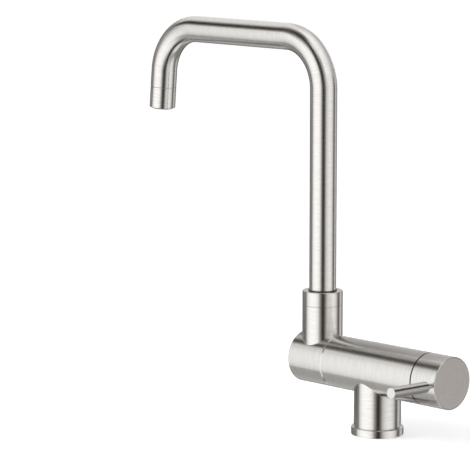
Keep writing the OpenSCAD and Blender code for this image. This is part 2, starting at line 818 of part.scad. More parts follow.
// Slide that the stem's finger pushes, keyed to the turret
module disc_carrier() {
    groove_w = key_w + slot_play;
    groove_h = key_h + key_play;
    color("lightgray") on_pivot() difference() {
        translate([moving_disc_top, disc_offset, 0]) rotate([0, 90, 0])
            cylinder(r = disc_r, h = carrier_top - moving_disc_top);
        translate([moving_disc_top - over, 0, 0]) rotate([0, 90, 0])
            cylinder(r = finger_r + pocket_fit, h = carrier_top - moving_disc_top + 2 * over);
        for (side = [-1, 1])
            translate([carrier_top - groove_h, -disc_r - over, side * key_y - groove_w / 2])
                cube([groove_h + over, 3 * disc_r, groove_w]);
    }
}

// Upper ceramic disc, with its mixing chamber on the underside
module moving_disc() {
    color("ivory") on_pivot() translate([moving_disc_base, disc_offset, 0]) rotate([0, 90, 0])
        difference() {
            cylinder(r = disc_r, h = disc_t);
            translate([chamber_offset, 0, -over]) cylinder(r = mixing_chamber_r, h = disc_t / 2 + over);
        }
}

// Stem: square head for the cap, eye for the pin and a ball-ended finger for the slide
module stem() {
    eye_end = eye_trim - stem_w / 2;
    color("lightgray") on_pivot() difference() {
        union() {
            translate([eye_end, -stem_w / 2, -stem_w / 2]) cube([stem_l - eye_end, stem_w, stem_w]);
            translate([-finger_l, 0, 0]) rotate([0, 90, 0]) cylinder(r = finger_neck_r, h = finger_l);
            translate([-finger_l, 0, 0]) sphere(r = finger_r);
        }
        translate([0, 0, -stem_w]) cylinder(r = pivot_pin_r + pin_play, h = 2 * stem_w);
    }
}

// Handle cap: same diameter as the body, cut back behind so that it can lift
module handle_cap() {
    socket_end = cap_rim + cap_cavity;
    color("silver") difference() {
        on_pivot_axis(cap_rim) turned(body_r, cap_l, edge / 2, 1.5 * edge);
        on_pivot_axis(cap_rim - over) cylinder(r = cap_bore_r, h = cap_cavity + over);
        on_pivot() translate([socket_end - over, -socket_w / 2, -socket_w / 2])
            cube([stem_l - socket_end + slot_play + over, socket_w, socket_w]);
        on_pivot() rotate([0, 0, -lift_range])
            translate([cap_rim - cap_gap + stop_fit - body_d, -body_d, -body_d])
                cube([body_d, 2 * body_d, 2 * body_d]);
        lever_axis() cylinder(d = neck_d + loose, h = body_r);
        grub_axis(stem_w / 2 - over) cylinder(r = grub_r + thread_fit, h = body_r);
    }
}

// Moves its children to the lever's thread end, with their own Z along the lever
module lever_axis() {
    on_pivot() translate([lever_x, 0, 0]) rotate([90, 0, 0]) translate([0, 0, lever_root]) children();
}

// Moves its children onto the grub screw's axis, at the distance y behind the stem's middle
module grub_axis(y) {
    on_pivot() translate([grub_x, y, 0]) rotate([-90, 0, 0]) children();
}

// Lever pin with its thin neck screwed into the cap
module lever_pin() {
    start = lever_start - lever_root;
    end = lever_reach - lever_root;
    r = lever_d / 2;
    color("silver") lever_axis() rotate_extrude() polygon([
        [0, loose], [neck_d / 2, loose], [neck_d / 2, start],
        [r - lever_taper, start], [r, start + lever_taper],
        [r, end - edge], [r - edge, end], [0, end]]);
}

// Grub screw that clamps the cap on the stem
module grub_screw() {
    color("dimgray") grub_axis(stem_w / 2 + loose) difference() {
        turned(grub_r, grub_l, edge, edge);
        translate([0, 0, grub_l - grub_socket])
            cylinder(d = grub_socket / cos(30), h = grub_socket + over, $fn = 6);
    }
}

valve_body();
base_ring();
base_seal();
fixing_stud();
horseshoe_gasket();
horseshoe_plate();
fixing_nut();
cartridge_base();
port_seals();
cartridge_housing();
fixed_disc();
cartridge_nut();
spigot_seals();
tilt_glide_ring();
tilt_stop_pin();
slip_washer();
thrust_washer();
hub_screw();
screw_seal();
tilt_hub();
hub_end_cap();
swivel_collar();
collar_bush();
swivel_thrust_ring();
spout_tube();
spout_bush();
spout_seals();
aerator_sleeve();
aerator_insert();
aerator_seal();
cartridge_turret();
pivot_pin();
disc_carrier();
moving_disc();
stem();
handle_cap();
lever_pin();
grub_screw();
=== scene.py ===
import math
import bpy
import numpy as np
from mathutils import Matrix, Vector
from mathutils.geometry import tessellate_polygon
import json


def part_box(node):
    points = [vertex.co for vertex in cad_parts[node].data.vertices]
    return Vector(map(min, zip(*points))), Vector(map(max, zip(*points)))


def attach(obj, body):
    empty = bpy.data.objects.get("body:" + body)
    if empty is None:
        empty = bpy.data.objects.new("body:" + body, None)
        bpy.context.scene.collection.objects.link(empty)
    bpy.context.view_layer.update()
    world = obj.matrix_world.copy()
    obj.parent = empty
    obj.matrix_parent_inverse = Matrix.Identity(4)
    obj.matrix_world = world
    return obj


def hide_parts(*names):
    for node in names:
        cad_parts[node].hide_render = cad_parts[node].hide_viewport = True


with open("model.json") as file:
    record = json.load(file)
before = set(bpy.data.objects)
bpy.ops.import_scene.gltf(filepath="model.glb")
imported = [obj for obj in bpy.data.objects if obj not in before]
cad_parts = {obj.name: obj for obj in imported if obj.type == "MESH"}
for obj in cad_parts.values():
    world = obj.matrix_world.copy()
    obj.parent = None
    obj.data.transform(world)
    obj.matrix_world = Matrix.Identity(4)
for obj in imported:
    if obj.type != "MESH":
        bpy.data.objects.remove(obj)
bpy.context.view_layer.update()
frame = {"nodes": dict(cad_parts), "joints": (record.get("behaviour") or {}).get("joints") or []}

# Valve body: the fixed tee that stands on the worktop, a barrel on a short column. It is turned
# from stainless steel bar, the column's root is ground to a fine fillet, and it is brushed in
# the lathe, so its lines run round the barrel and round the column.
MM = 0.001
joint_at = {joint["name"]: Vector(joint["pos_m"]) for joint in frame["joints"] if "pos_m" in joint}
axis_z = joint_at["spout_tilt"].z
barrel_low, barrel_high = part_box("valve_body")
barrel_r = barrel_high.y
mouth_x = barrel_high.x
seam_x = -49.35 * MM
fine_edge = 0.35 * MM
small_edge = 0.2 * MM
seam_edge = 0.15 * MM
crease = 0.06 * MM
column_r = 21.5 * MM
foot_r = 19.5 * MM
ring_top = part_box("base_ring")[1].z
saddle_fillet = 0.5 * MM


def turned_profile(corners, closed=False, steps=4):
    """Rows (along, radius, normal along, normal out, finish) of a profile whose corners are
    (along, radius, rounding). The metal lies to the right of the way that the corners run. A
    fourth number is the finish of the stretch after the corner."""
    spots = [Vector(corner[:2]) for corner in corners]
    rows = []
    for i, (at, corner) in enumerate(zip(spots, corners)):
        last = i == len(corners) - 1
        finish = corner[3] if len(corner) > 3 else 0
        if not closed and (i == 0 or last):
            way = (spots[i] - spots[i - 1] if last else spots[1] - at).normalized()
            rows.append((at.x, at.y, -way.y, way.x, finish))
            continue
        way_in = (at - spots[i - 1]).normalized()
        way_out = (spots[(i + 1) % len(spots)] - at).normalized()
        bend = math.atan2(way_in.cross(way_out), way_in.dot(way_out))
        rounding = corner[2]
        hollow = 1 if bend > 0 else -1
        facing = Vector((-way_in.y, way_in.x))
        start = at - way_in * rounding * math.tan(abs(bend) / 2)
        centre = start + facing * rounding * hollow
        for k in range(steps + 1):
            turned = Matrix.Rotation(bend * k / steps, 2) @ facing
            spot = centre - turned * rounding * hollow
            rows.append((*spot, *turned, finish))
    if closed:
        rows.append(rows[0])
    return np.array(rows)


def seat(origin, axis, across):
    """Frame with its Z along axis and its X along across."""
    z, x = Vector(axis).normalized(), Vector(across).normalized()
    return Matrix.Translation(origin) @ Matrix((x, z.cross(x), z)).transposed().to_4x4()


def placed(place, points, normals, grain, finish):
    """A patch of skin: points, normals and grain as grids, moved to its place."""
    turn = np.array(place.to_3x3())
    return points @ turn.T + np.array(place.translation), normals @ turn.T, grain, finish


def run_along(profile):
    """Distance that each row of a profile lies along it."""
    step = np.hypot(np.diff(profile[:, 0]), np.diff(profile[:, 1]))
    return profile[0, 0] + np.concatenate([[0], np.cumsum(step)])


def turned_patch(place, profile, sides=128, first=None):
    """A profile turned about the Z axis of its place. first gives the angle at which each row
    leaves room for a branch."""
    first = np.zeros(len(profile)) if first is None else first
    share = np.linspace(0, 1, sides + 1)
    turn = first[:, None] + (2 * np.pi - 2 * first[:, None]) * share
    along, radius, lean, out, finish = (column[:, None] for column in profile.T)
    points = np.stack([radius * np.cos(turn), radius * np.sin(turn), along + 0 * turn], -1)
    normals = np.stack([out * np.cos(turn), out * np.sin(turn), lean + 0 * turn], -1)
    grain = np.stack([run_along(profile)[:, None] + 0 * turn, turn / (2 * np.pi)], -1)
    return placed(place, points, normals, grain, finish[:, 0])


def branched_bar(place, left, right, branch_at, branch_r, fillet, branch, hole=False, cuts=64):
    """A turned bar with a round branch, or a hole, on the X side of its place. A small fillet
    runs round the saddle. left, right and branch are profiles."""
    bar_r = left[-1, 1]
    side = -1 if hole else 1
    reach = branch_r + fillet
    ball_r = bar_r + side * fillet
    angle = np.linspace(np.pi, 0, cuts + 1)
    middle = np.zeros((cuts + 1, 5))
    middle[:, 0] = branch_at + reach * np.cos(angle)
    middle[:, 1], middle[:, 3] = bar_r, 1
    room = np.arcsin(reach * np.sin(angle) / ball_r)
    first = np.concatenate([np.zeros(len(left)), room, np.zeros(len(right))])
    patches = [turned_patch(place, np.vstack([left, middle, right]), first=first)]
    turn = np.linspace(0, 2 * np.pi, 2 * cuts + 1)
    round_branch = np.stack([0 * turn, np.sin(turn), np.cos(turn)], -1)
    height = np.sqrt(ball_r ** 2 - (reach * np.sin(turn)) ** 2)
    centre = round_branch * reach + np.array([0, 0, branch_at])
    centre[:, 0] = height
    to_bar = -side * np.stack([centre[:, 0], centre[:, 1], 0 * turn], -1) / ball_r
    swing = np.arccos(np.sum(to_bar * -round_branch, -1))[:, None]
    fillet_rows = 7
    rows = []
    for share in np.linspace(0, 1, fillet_rows):
        part = np.sin((1 - share) * swing) * to_bar - np.sin(share * swing) * round_branch
        rows.append(part / np.sin(swing))
    toward = np.array(rows)
    points = centre + fillet * toward
    grain = np.stack([points[..., 0], 0 * points[..., 0] + turn / (2 * np.pi)], -1)
    patches.append(placed(place, points, -side * toward, grain, np.zeros(fillet_rows)))
    along, radius, lean, out, finish = (column[:, None] for column in branch.T)
    walls = np.stack([along + 0 * turn, radius * np.sin(turn), branch_at + radius * np.cos(turn)], -1)
    facing = np.stack([lean + 0 * turn, out * np.sin(turn), out * np.cos(turn)], -1)
    lines = np.stack([run_along(branch)[:, None] + 0 * turn, 0 * along + turn / (2 * np.pi)], -1)
    walls = np.concatenate([points[-1:], walls])
    facing = np.concatenate([side * round_branch[None], facing])
    lines = np.concatenate([grain[-1:], lines])
    patches.append(placed(place, walls, facing, lines, np.concatenate([[0], finish[:, 0]])))
    return patches


def flat_plate(loops, facing, finish=0):
    """A flat face with holes, as triangles. The first loop is its outline."""
    spots = [spot for loop in loops for spot in loop]
    patches = []
    for triangle in tessellate_polygon(loops):
        a, b, c = (np.array(spots[i]) for i in triangle)
        points = np.array([[a, b], [a, c]])
        normals = np.zeros_like(points) + np.array(facing)
        patches.append((points, normals, points[..., :2], [finish, finish]))
    return patches


def circle_loop(centre, radius, sides):
    """Points of a level circle."""
    turns = [2 * math.pi * k / sides for k in range(sides)]
    return [Vector(centre) + radius * Vector((math.cos(t), math.sin(t), 0)) for t in turns]


def welded(name, patches, finishes, body, node):
    """One closed mesh from patches that share their borders. It keeps their true normals, and
    the UV map grain holds the run along the turned profile and the turn round it."""
    numbers, spots, faces, normals, grain, marks = {}, [], [], [], [], []
    for points, facing, lines, finish in patches:
        high, wide = points.shape[:2]
        keys = np.round(points * 1e7).astype(int).reshape(-1, 3).tolist()
        ids = []
        for key, spot in zip(map(tuple, keys), points.reshape(-1, 3).tolist()):
            if key not in numbers:
                numbers[key] = len(spots)
                spots.append(spot)
            ids.append(numbers[key])
        flat_normals = facing.reshape(-1, 3)
        flat_lines = lines.reshape(-1, 2)
        across = points[1:, 1:] - points[:-1, :-1]
        other = points[1:, :-1] - points[:-1, 1:]
        shown = facing[:-1, :-1] + facing[1:, 1:] + facing[1:, :-1] + facing[:-1, 1:]
        backward = np.sum(np.cross(across, other) * shown, -1) > 0
        for i in range(high - 1):
            for j in range(wide - 1):
                ring = [i * wide + j, (i + 1) * wide + j, (i + 1) * wide + j + 1, i * wide + j + 1]
                if backward[i, j]:
                    ring.reverse()
                corners = {}
                for spot in ring:
                    corners.setdefault(ids[spot], spot)
                if len(corners) < 3:
                    continue
                faces.append(list(corners))
                normals.extend(flat_normals[list(corners.values())].tolist())
                grain.extend(flat_lines[list(corners.values())].ravel().tolist())
                marks.append(int(finish[i]))
    mesh = bpy.data.meshes.new(name)
    mesh.from_pydata(spots, [], faces)
    for material in finishes:
        mesh.materials.append(material)
    mesh.polygons.foreach_set("material_index", marks)
    mesh.polygons.foreach_set("use_smooth", [True] * len(faces))
    mesh.uv_layers.new(name="grain").data.foreach_set("uv", grain)
    mesh.normals_split_custom_set(normals)
    piece = bpy.data.objects.new(name, mesh)
    bpy.context.scene.collection.objects.link(piece)
    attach(piece, body)
    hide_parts(node)


def effect_group(name, inputs, outputs):
    """A shader node group with named number inputs and outputs, and its two end nodes."""
    group = bpy.data.node_groups.new(name, "ShaderNodeTree")
    for socket, value in inputs.items():
        made = group.interface.new_socket(socket, in_out="INPUT", socket_type="NodeSocketFloat")
        made.default_value = value
    for socket in outputs:
        group.interface.new_socket(socket, in_out="OUTPUT", socket_type="NodeSocketFloat")
    return group, group.nodes.new("NodeGroupInput"), group.nodes.new("NodeGroupOutput")


def reckon(tree, operation, *values):
    """A Math node fed with sockets or numbers. Returns its output."""
    node = tree.nodes.new("ShaderNodeMath")
    node.operation = operation
    for socket, value in zip(node.inputs, values):
        if isinstance(value, (int, float)):
            socket.default_value = value
        else:
            tree.links.new(value, socket)
    return node.outputs[0]


def brush_line_group():
    """Lines that a brush leaves round a turned piece, from its grain."""
    group, given, out = effect_group(
        "brush_lines", {"Lines per metre": 2500.0, "Waver": 1.5, "Detail": 3.0}, ["Line"])
    grain = group.nodes.new("ShaderNodeUVMap")
    grain.uv_map = "grain"
    split = group.nodes.new("ShaderNodeSeparateXYZ")
    group.links.new(grain.outputs["UV"], split.inputs[0])
    turn = reckon(group, "MULTIPLY", split.outputs["Y"], 2 * math.pi)
    spot = group.nodes.new("ShaderNodeCombineXYZ")
    lines = reckon(group, "MULTIPLY", split.outputs["X"], given.outputs["Lines per metre"])
    group.links.new(lines, spot.inputs["X"])
    for socket, wave in (("Y", "COSINE"), ("Z", "SINE")):
        round_turn = reckon(group, "MULTIPLY", reckon(group, wave, turn), given.outputs["Waver"])
        group.links.new(round_turn, spot.inputs[socket])
    noise = group.nodes.new("ShaderNodeTexNoise")
    noise.inputs["Scale"].default_value = 1
    group.links.new(given.outputs["Detail"], noise.inputs["Detail"])
    group.links.new(spot.outputs[0], noise.inputs["Vector"])
    group.links.new(noise.outputs["Fac"], out.inputs["Line"])
    return group


def mottle_group():
    """Soft uneven patches on a surface, for handling marks and mottled colour."""
    group, given, out = effect_group("mottle", {"Patches per metre": 30.0, "Detail": 2.0}, ["Patch"])
    where = group.nodes.new("ShaderNodeTexCoord")
    noise = group.nodes.new("ShaderNodeTexNoise")
    noise.inputs["Roughness"].default_value = 0.6
    group.links.new(where.outputs["Object"], noise.inputs["Vector"])
    group.links.new(given.outputs["Patches per metre"], noise.inputs["Scale"])
    group.links.new(given.outputs["Detail"], noise.inputs["Detail"])
    group.links.new(noise.outputs["Fac"], out.inputs["Patch"])
    return group


brush_lines = brush_line_group()
mottle = mottle_group()


def effect(tree, group, **values):
    """A node group placed in a material with its own values. Returns its first output."""
    node = tree.nodes.new("ShaderNodeGroup")
    node.node_tree = group
    for socket, value in values.items():
        node.inputs[socket.replace("_", " ")].default_value = value
    return node.outputs[0]


def two_tones(tree, share, tone, low, high):
    """A tone that goes from low to high times itself, by a share of 0 to 1."""
    mix = tree.nodes.new("ShaderNodeMix")
    mix.data_type = "RGBA"
    mix.inputs["A"].default_value = (*(t * low for t in tone), 1)
    mix.inputs["B"].default_value = (*(t * high for t in tone), 1)
    tree.links.new(share, mix.inputs["Factor"])
    return mix.outputs["Result"]


def in_range(tree, share, low, high):
    """A share of 0 to 1 stretched from low to high."""
    node = tree.nodes.new("ShaderNodeMapRange")
    node.inputs["To Min"].default_value = low
    node.inputs["To Max"].default_value = high
    tree.links.new(share, node.inputs["Value"])
    return node.outputs["Result"]


def shaded(tree, colour=None, roughness=None, height=None, depth=0.0, **sockets):
    """Fills the material's own shader: linked colour, roughness and height, and fixed sockets.
    depth is how far the height goes from 0 to 1."""
    shader = next(n for n in tree.nodes if n.type == "BSDF_PRINCIPLED")
    for socket, value in sockets.items():
        shader.inputs[socket.replace("_", " ")].default_value = value
    if colour is not None:
        tree.links.new(colour, shader.inputs["Base Color"])
    if roughness is not None:
        tree.links.new(roughness, shader.inputs["Roughness"])
    if height is not None:
        bump = tree.nodes.new("ShaderNodeBump")
        bump.inputs["Distance"].default_value = depth
        tree.links.new(height, bump.inputs["Height"])
        tree.links.new(bump.outputs["Normal"], shader.inputs["Normal"])
    return shader


def new_finish(name):
    """A material with its shader, and its node tree."""
    material = bpy.data.materials.new(name)
    material.use_nodes = True
    return material, material.node_tree


def brushed_steel(name, tone, roughness, spread, line_depth):
    """Stainless steel brushed along its grain: fine lines in tone, roughness and height."""
    material, tree = new_finish(name)
    fine = effect(tree, brush_lines, Lines_per_metre=5200.0, Waver=2.5, Detail=2.0)
    broad = effect(tree, brush_lines, Lines_per_metre=900.0, Waver=1.2, Detail=3.0)
    fine_share = 0.45
    both = reckon(tree, "ADD", reckon(tree, "MULTIPLY", fine, fine_share),
                  reckon(tree, "MULTIPLY", broad, 1 - fine_share))
    handled = effect(tree, mottle, Patches_per_metre=24.0, Detail=2.0)
    colour = two_tones(tree, in_range(tree, both, -0.7, 1.7), tone, 0.9, 1.07)
    line_sway = 0.06
    handled_sway = 0.05
    uneven = reckon(tree, "ADD", reckon(tree, "MULTIPLY", both, line_sway),
                    reckon(tree, "MULTIPLY", handled, handled_sway))
    shine = reckon(tree, "ADD", uneven, roughness - (line_sway + handled_sway) / 2)
    shader = shaded(tree, colour, shine, both, line_depth, Metallic=1.0, Anisotropic=spread)
    grain = tree.nodes.new("ShaderNodeTangent")
    grain.direction_type = "UV_MAP"
    grain.uv_map = "grain"
    tree.links.new(grain.outputs[0], shader.inputs["Tangent"])
    return material


steel_tone = (0.75, 0.737, 0.716)
# Near-black steel for bores, insides, undersides and faces in seams: painted shade that stands in for the
# shade falling there.
painted_shade_tone = (0.08, 0.075, 0.07)
satin_steel = brushed_steel("satin_steel", steel_tone, roughness=0.24, spread=0.75, line_depth=0.002 * MM)
painted_shade_steel = brushed_steel("painted_shade_steel", painted_shade_tone, roughness=0.5, spread=0.2, line_depth=0.004 * MM)

spigot_r = 15 * MM
spigot_bore_r = 8 * MM
waist_r = 12 * MM
waist_w = 12 * MM
riser_x = -70.7 * MM
spigot_end = barrel_low.x
spigot_bore_end = -34.5 * MM
thread_r = 20.5 * MM
thread_x = 52.5 * MM
pocket_r = 17.7 * MM
pocket_x = 46.4 * MM
beside_column = 30 * MM
column_head_z = 33 * MM
body_left = turned_profile([
    (spigot_bore_end, 0, 0, 1), (spigot_bore_end, spigot_bore_r, crease, 1),
    (spigot_end, spigot_bore_r, crease), (spigot_end, spigot_r, crease),
    (riser_x - waist_w / 2, spigot_r, crease),
    (riser_x - waist_w / 2, waist_r, crease), (riser_x + waist_w / 2, waist_r, crease),
    (riser_x + waist_w / 2, spigot_r, crease), (seam_x, spigot_r, crease),
    (seam_x, barrel_r, seam_edge), (-beside_column, barrel_r, 0)])
body_right = turned_profile([
    (beside_column, barrel_r, 0), (mouth_x, barrel_r, seam_edge, 1), (mouth_x, thread_r, crease, 1),
    (thread_x, thread_r, crease, 1), (thread_x, pocket_r, crease, 1), (pocket_x, pocket_r, crease, 1),
    (pocket_x, 0, 0, 1)])
column = turned_profile([
    (axis_z - column_head_z, column_r, 0), (axis_z - ring_top, column_r, small_edge),
    (axis_z - ring_top, foot_r, crease), (axis_z, foot_r, crease), (axis_z, foot_r - fine_edge, 0)])
body_seat = seat((0, 0, axis_z), (1, 0, 0), (0, 0, -1))
body_skin = branched_bar(body_seat, body_left, body_right, 0, column_r, saddle_fillet, column)
inlet_r = 5 * MM
inlet_depth = 12 * MM
inlet_at = (6 * MM, 9.5 * MM)
stud_hole_r = 4.1 * MM
stud_hole_depth = 15 * MM
stud_x = -11 * MM
foot_sides = 128
hole_sides = 48
foot_holes = [((inlet_at[0], side * inlet_at[1], 0), inlet_r, inlet_depth) for side in (-1, 1)]
foot_holes.append(((stud_x, 0, 0), stud_hole_r, stud_hole_depth))
foot_loops = [circle_loop((0, 0, 0), foot_r - fine_edge, foot_sides)]
for centre, radius, depth in foot_holes:
    foot_loops.append(circle_loop(centre, radius, hole_sides))
    bore = turned_profile([(depth, 0, 0, 1), (depth, radius, crease, 1), (0, radius, 0, 1)])
    body_skin.append(turned_patch(seat(centre, (0, 0, 1), (1, 0, 0)), bore, hole_sides))
body_skin += flat_plate(foot_loops, (0, 0, -1), 1)
# The body's spigot bore, mouth face, thread, pocket, inlet and stud holes and foot take the near-black
# steel: painted shade.
welded("valve_body_turned", body_skin, [satin_steel, painted_shade_steel],
       "fixed_body", "valve_body")

# Base ring: a loose ring of the same steel under the column's step, which covers the edge of
# the hole in the worktop. It is turned, with a bright edge above and a groove for its seal.
ring_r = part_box("base_ring")[1].y
ring_bore_r = 19.6 * MM
groove_in_r = 20.6 * MM
groove_out_r = 22.9 * MM
groove_h = 1.5 * MM
ring_profile = turned_profile([
    (0, groove_out_r, crease), (0, ring_r, small_edge), (ring_top, ring_r, fine_edge),
    (ring_top, ring_bore_r, crease), (0, ring_bore_r, crease), (0, groove_in_r, crease),
    (groove_h, groove_in_r, crease), (groove_h, groove_out_r, crease)], closed=True)
upright = seat((0, 0, 0), (0, 0, 1), (1, 0, 0))
welded("base_ring_turned", [turned_patch(upright, ring_profile)], [satin_steel],
       "fixed_body", "base_ring")

# Tilting hub: the tee on the body's left end, which carries the spout and folds down with it.
# It turns on the body's spigot behind a fine seam, where its edge has a bright chamfer, and its
# stub is bored for the spout's foot.
hub_low, hub_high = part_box("tilt_hub")
hub_bore_r = 15.05 * MM
chamber_r = 19.8 * MM
end_seat_r = 20.6 * MM
recess = 2 * MM
end_seat_x = hub_low.x + recess
web_x = -82.6 * MM
glide_r = 17.9 * MM
glide_x = hub_high.x - recess
chamfer_w = 1.0 * MM
chamfer_h = 0.4 * MM
bore_middle_x = -66 * MM
saddle_left_x = -90.6 * MM
saddle_right_x = -51 * MM
stub_r = 18.75 * MM
stub_top = hub_high.z - axis_z
socket_r = 15.5 * MM
socket_floor = 27 * MM
ledge_r = 17.05 * MM
ledge_height = 46 * MM
stub_start = 26 * MM
rim_edge = 0.12 * MM
hub_left = turned_profile([
    (bore_middle_x, hub_bore_r, 0, 1), (web_x, hub_bore_r, crease, 1), (web_x, chamber_r, crease, 1),
    (end_seat_x, chamber_r, crease, 1), (end_seat_x, end_seat_r, crease), (hub_low.x, end_seat_r, crease),
    (hub_low.x, barrel_r, fine_edge), (saddle_left_x, barrel_r, 0)])
hub_right = turned_profile([
    (saddle_right_x, barrel_r, 0), (hub_high.x - chamfer_w, barrel_r, crease),
    (hub_high.x, barrel_r - chamfer_h, crease, 1), (hub_high.x, glide_r, crease, 1),
    (glide_x, glide_r, crease, 1), (glide_x, hub_bore_r, crease, 1),
    (bore_middle_x, hub_bore_r, 0, 1)])
stub = turned_profile([
    (stub_start, stub_r, 0), (stub_top, stub_r, rim_edge), (stub_top, ledge_r, crease, 1),
    (ledge_height, ledge_r, crease, 1), (ledge_height, socket_r, crease, 1),
    (socket_floor, socket_r, crease, 1), (socket_floor, 0, 0, 1)])
hub_seat = seat((0, 0, axis_z), (1, 0, 0), (0, 0, 1))
hub_skin = branched_bar(hub_seat, hub_left, hub_right, riser_x, stub_r, saddle_fillet, stub)
# The hub's bore, chamber, end face in its seam and stub socket take the near-black steel: painted shade.
welded("tilt_hub_turned", hub_skin, [satin_steel, painted_shade_steel], "hub", "tilt_hub")

# Hub end cap: a thin disc pressed into the hub's end, faced in the lathe, so that its lines are
# circles round the middle.
cap_low, cap_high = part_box("hub_end_cap")
disc_edge = 0.3 * MM
end_disc = turned_profile([
    (cap_low.x, 0, 0), (cap_low.x, cap_high.y, disc_edge),
    (cap_high.x, cap_high.y, crease), (cap_high.x, 0, 0)])
welded("hub_end_disc", [turned_patch(hub_seat, end_disc)], [satin_steel],
       "hub", "hub_end_cap")

# Swivel collar: the ring screwed onto the stub, which holds the spout down and lets it turn.
# It has the stub's diameter, a fine seam under it and a bright edge round its top.
collar_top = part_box("swivel_collar")[1].z
collar_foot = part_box("swivel_collar")[0].z
collar_seam = 111.3 * MM
collar_rim_r = 12.8 * MM
collar_skirt_r = 17 * MM
collar_rim = 2 * MM
collar_profile = turned_profile([
    (collar_foot, socket_r, crease, 1), (collar_foot, collar_skirt_r, crease, 1),
    (collar_seam, collar_skirt_r, crease), (collar_seam, stub_r, rim_edge),
    (collar_top, stub_r, fine_edge), (collar_top, collar_rim_r, crease, 1),
    (collar_top - collar_rim, collar_rim_r, crease, 1),
    (collar_top - collar_rim, socket_r, crease, 1)], closed=True)
riser_seat = seat((riser_x, 0, 0), (0, 0, 1), (1, 0, 0))
# The collar's foot, skirt and the inside of its rim take the near-black steel: painted shade.
welded("swivel_collar_turned", [turned_patch(riser_seat, collar_profile)], [satin_steel, painted_shade_steel],
       "hub", "swivel_collar")

# Spout: one steel tube with two bends, polished before it is bent and then brushed round, so
# that its lines run round the tube all the way. Its outlet leans outwards a little.
tube_r = 12.5 * MM
tube_bore_r = 11 * MM
bend_r = 46.5 * MM
top_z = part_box("spout_tube")[1].z - tube_r
foot_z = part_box("spout_tube")[0].z
reach = 213 * MM
cross_x = riser_x - reach
outlet_lean = math.radians(4.8)
second_turn = math.pi / 2 - outlet_lean
seam_drop = 58.5 * MM
setback = bend_r * math.tan(second_turn / 2)
riser_run = top_z - bend_r - foot_z
top_run = riser_x - bend_r - (cross_x + setback)
outlet_run = seam_drop - setback
runs = [riser_run, bend_r * math.pi / 2, top_run, bend_r * second_turn, outlet_run]
stations = np.concatenate([[0], np.cumsum(runs)])
outlet_way = Vector((-math.sin(outlet_lean), 0, -math.cos(outlet_lean)))
outlet_cross = Vector((cross_x, 0, top_z))


def spout_place(run):
    """Middle, way and outer side of the spout's line at a distance from its foot."""
    if run <= stations[1]:
        return Vector((riser_x, 0, foot_z + run)), Vector((0, 0, 1)), Vector((1, 0, 0))
    if stations[2] <= run <= stations[3]:
        middle = Vector((riser_x - bend_r - (run - stations[2]), 0, top_z))
        return middle, Vector((-1, 0, 0)), Vector((0, 0, 1))
    if run >= stations[4]:
        drop = setback + run - stations[4]
        across = outlet_way.cross(Vector((0, 1, 0)))
        return outlet_cross + outlet_way * drop, outlet_way, -across
    first = run < stations[2]
    angle = (run - stations[1]) / bend_r if first else math.pi / 2 + (run - stations[3]) / bend_r
    middle = Vector((riser_x - bend_r if first else cross_x + setback, 0, top_z - bend_r))
    outer = Vector((math.cos(angle), 0, math.sin(angle)))
    return middle + outer * bend_r, Vector((-outer.z, 0, outer.x)), outer


def drawn_patch(profile, sides=112):
    """A turned profile drawn along the spout's line instead of a straight axis."""
    turn = np.linspace(0, 2 * np.pi, sides + 1)[:, None]
    points, normals = [], []
    for along, radius, lean, out, _ in profile:
        middle, way, outer = (np.array(v) for v in spout_place(along))
        ring = np.cos(turn) * outer + np.sin(turn) * np.array([0, 1, 0])
        points.append(middle + radius * ring)
        normals.append(lean * way + out * ring)
    run = np.array([row[0] for row in profile])[:, None] + 0 * turn.T
    grain = np.stack([run, 0 * run + turn.T / (2 * np.pi)], -1)
    return np.array(points), np.array(normals), grain, profile[:, 4]


def with_stations(profile, marks):
    """Adds a row at each mark that a straight stretch of the profile passes."""
    rows = [profile[0]]
    for before, after in zip(profile, profile[1:]):
        low, high = sorted((before[0], after[0]))
        passed = [m for m in marks if low + crease < m < high - crease]
        for mark in sorted(passed, reverse=after[0] < before[0]):
            rows.append(np.array([mark, *before[1:]]))
        rows.append(after)
    return np.array(rows)


bend_steps = 44
straight_steps = 6
marks = [stations[k] + runs[k] * step / bend_steps for k in (1, 3) for step in range(bend_steps + 1)]
marks += [stations[k] + runs[k] * step / straight_steps
          for k in (0, 2) for step in range(1, straight_steps)]
tube_profile = turned_profile([
    (0, tube_bore_r, crease), (0, tube_r, crease),
    (stations[5], tube_r, small_edge), (stations[5], tube_bore_r, crease)], closed=True)
tube_skin = [drawn_patch(with_stations(tube_profile, marks))]
welded("spout_tube_bent", tube_skin, [satin_steel], "spout", "spout_tube")

# Aerator sleeve: the turned end of the outlet, screwed into the tube at a fine seam. It holds
# the perforated insert, whose lip stands out below it.
seam_gap = 0.25 * MM
sleeve_top = 52 * MM
sleeve_start = seam_drop + seam_gap
sleeve_end = 79 * MM
sleeve_thread_r = 10.9 * MM
sleeve_bore_r = 9.3 * MM
insert_r = 10.6 * MM
shelf = 59.2 * MM
sleeve_profile = turned_profile([
    (sleeve_top, sleeve_bore_r, crease), (sleeve_top, sleeve_thread_r, crease),
    (sleeve_start, sleeve_thread_r, crease), (sleeve_start, tube_r, small_edge),
    (sleeve_end, tube_r, fine_edge), (sleeve_end, insert_r, crease, 1),
    (shelf, insert_r, crease, 1), (shelf, sleeve_bore_r, crease, 1)], closed=True)
outlet_seat = seat(outlet_cross, outlet_way, (0, 1, 0))
sleeve_skin = [turned_patch(outlet_seat, sleeve_profile, sides=112)]
# The sleeve's inside round the insert takes the near-black steel: painted shade.
welded("aerator_sleeve_turned", sleeve_skin, [satin_steel, painted_shade_steel],
       "spout", "aerator_sleeve")

